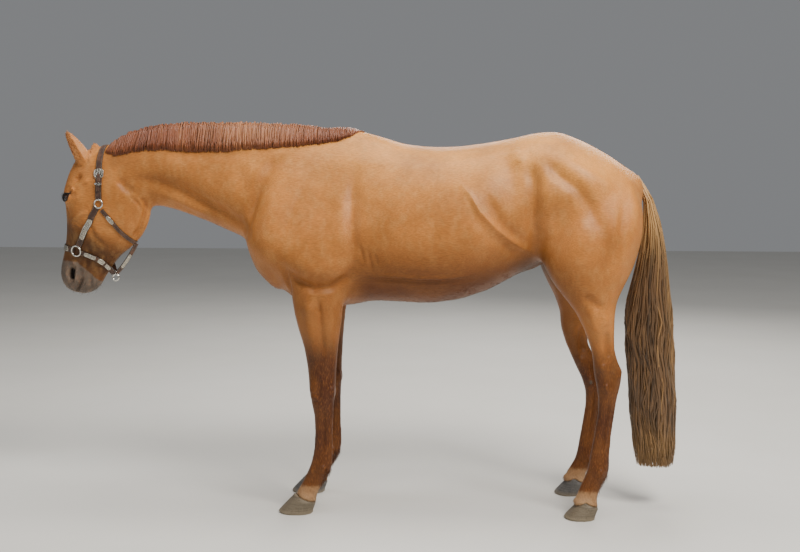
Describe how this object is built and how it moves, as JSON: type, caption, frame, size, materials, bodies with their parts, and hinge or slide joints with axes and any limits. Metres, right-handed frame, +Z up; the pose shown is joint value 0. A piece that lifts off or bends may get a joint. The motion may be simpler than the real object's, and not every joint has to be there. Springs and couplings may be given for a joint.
{
  "type": "horse model",
  "caption": "Life-size standing stock horse with a trimmed mane and full tail, wearing a leather show halter, as a still museum model.",
  "frame": {"origin": "middle of the bounding box on the floor, under the barrel", "axes": "+Z up, the horse faces -X, its left side faces -Y"},
  "size_m": [2.5208, 0.6, 1.5549],
  "materials": {
    "hide": "short glossy sorrel coat",
    "points": "short darker coat of the lower legs",
    "muzzle": "thin grey-brown velvety skin",
    "mane": "trimmed reddish hair lying on the left side",
    "tail": "long straight hair, brown above and pale at the ends",
    "hoof": "dull grey-brown horn, unshod",
    "eye": "wet dark eye",
    "halter": "dark brown strap leather",
    "silver": "bright engraved trim"
  },
  "bodies": {
    "root": {"barrel": "hide", "ear_left": "hide", "ear_right": "hide", "eye_left": "eye", "eye_right": "eye", "fore_cannon_left": "points", "fore_cannon_right": "points", "fore_hoof_left": "hoof", "fore_hoof_right": "hoof", "fore_pastern_left": "points", "fore_pastern_right": "points", "forearm_left": "hide", "forearm_right": "hide", "gaskin_left": "hide", "gaskin_right": "hide", "halter_buckle": "silver", "halter_cheek_left": "halter", "halter_cheek_right": "halter", "halter_chin_ring": "silver", "halter_chin_strap": "halter", "halter_crown": "halter", "halter_jaw_strap": "halter", "halter_noseband": "halter", "halter_plate_left": "silver", "halter_plate_right": "silver", "halter_side_ring_left": "silver", "halter_side_ring_right": "silver", "halter_throat": "halter", "halter_upper_ring_left": "silver", "halter_upper_ring_right": "silver", "head": "hide", "hind_cannon_left": "points", "hind_cannon_right": "points", "hind_hoof_left": "hoof", "hind_hoof_right": "hoof", "hind_pastern_left": "points", "hind_pastern_right": "points", "hindquarters": "hide", "hock_left": "points", "hock_right": "points", "knee_left": "points", "knee_right": "points", "mane": "mane", "muzzle": "muzzle", "neck": "hide", "shoulders": "hide", "tail_dock": "tail", "tail_hair": "tail"}
  },
  "joints": []
}
